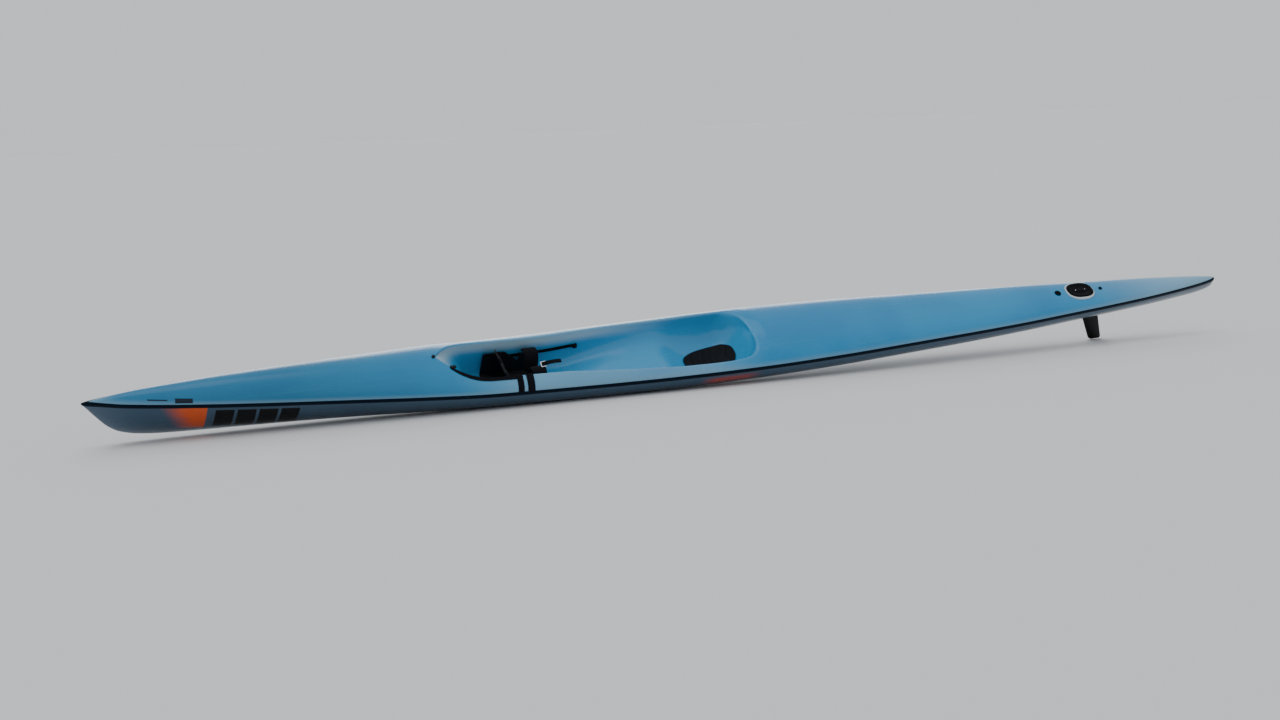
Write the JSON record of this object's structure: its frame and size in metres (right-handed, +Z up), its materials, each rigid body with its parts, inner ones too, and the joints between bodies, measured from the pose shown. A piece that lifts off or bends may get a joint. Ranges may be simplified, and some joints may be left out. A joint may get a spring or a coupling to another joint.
{
  "type": "surfski",
  "caption": "Long narrow sit-on-top racing kayak with open cockpit, pedal-steered rudder, foot board and stern hatch, lying on its bilge as it is left ashore.",
  "frame": {"origin": "centre of the bounding box on the floor the boat lies on", "axes": "+X from stern to bow, +Y to the boat's port side, +Z up; the boat leans 38 degrees to port and its bow is 1.7 degrees down"},
  "size_m": [6.2014, 0.3888, 0.3557],
  "materials": {
    "deck_gelcoat": "glossy gelcoat",
    "hull_gelcoat": "glossy gelcoat",
    "seam_band": "satin paint",
    "seat_foam": "closed-cell foam",
    "webbing": "woven webbing",
    "fittings": "moulded nylon",
    "rim_plastic": "moulded",
    "rubber": "moulded rubber",
    "steel": "stainless",
    "tiller_metal": "satin",
    "rail_metal": "black anodised",
    "blade": "satin moulded"
  },
  "bodies": {
    "boat": {"cockpit_tub": "deck_gelcoat", "foredeck": "deck_gelcoat", "side_deck_port_fore": "deck_gelcoat", "side_deck_port_mid": "deck_gelcoat", "side_deck_port_aft": "deck_gelcoat", "side_deck_starboard_fore": "deck_gelcoat", "side_deck_starboard_mid": "deck_gelcoat", "side_deck_starboard_aft": "deck_gelcoat", "rear_deck": "deck_gelcoat", "well_deck": "deck_gelcoat", "stern_deck": "deck_gelcoat", "hull_bow": "hull_gelcoat", "hull_footwell_fore": "hull_gelcoat", "hull_footwell_aft": "hull_gelcoat", "hull_thigh": "hull_gelcoat", "hull_seat": "hull_gelcoat", "hull_aft": "hull_gelcoat", "hull_well": "hull_gelcoat", "hull_stern": "hull_gelcoat", "seam_band_port": "seam_band", "seam_band_starboard": "seam_band", "seat_pad": "seat_foam", "footrest_rail_port": "rail_metal", "footrest_rail_starboard": "rail_metal", "foot_board": "fittings", "pedal_hinge_rod": "steel", "foot_strap": "webbing", "strap_tail_fore": "webbing", "strap_tail_aft": "webbing", "edge_strap": "webbing", "leash_eye": "fittings", "footrest_cheek_port": "fittings", "footrest_cheek_starboard": "fittings", "rail_stop_port": "fittings", "rail_stop_starboard": "fittings", "bailer_frame": "fittings", "hatch_rim": "rim_plastic", "vent_plug": "rubber", "stern_plug": "rubber", "rudder_bearing": "fittings"},
    "rudder": {"rudder_blade": "blade", "rudder_stock": "steel", "tiller": "tiller_metal"},
    "pedal_port": {"pedal_port": "fittings"},
    "pedal_starboard": {"pedal_starboard": "fittings"},
    "hatch": {"hatch_lid": "fittings"}
  },
  "joints": [
    {"name": "rudder_steer", "type": "hinge", "parent": "boat", "child": "rudder", "pos_m": [-2.29523, -0.06657, 0.16145], "axis": [0.024, 0.6107, 0.7915], "range_deg": [-35, 35]},
    {"name": "pedal_port_tilt", "type": "hinge", "parent": "boat", "child": "pedal_port", "pos_m": [1.12815, 0.06334, 0.14734], "axis": [-0.0185, 0.7919, -0.6104], "range_deg": [-14, 14]},
    {"name": "pedal_starboard_tilt", "type": "hinge", "parent": "boat", "child": "pedal_starboard", "pos_m": [1.12993, -0.01268, 0.20594], "axis": [-0.0185, 0.7919, -0.6104], "range_deg": [-14, 14]},
    {"name": "hatch_lift", "type": "slide", "parent": "boat", "child": "hatch", "axis": [0.024, 0.6107, 0.7915], "range_m": [0, 0.08]}
  ],
  "couplings": [
    {"joint": "pedal_port_tilt", "follows": "rudder_steer", "ratio": -0.4},
    {"joint": "pedal_starboard_tilt", "follows": "rudder_steer", "ratio": 0.4}
  ]
}
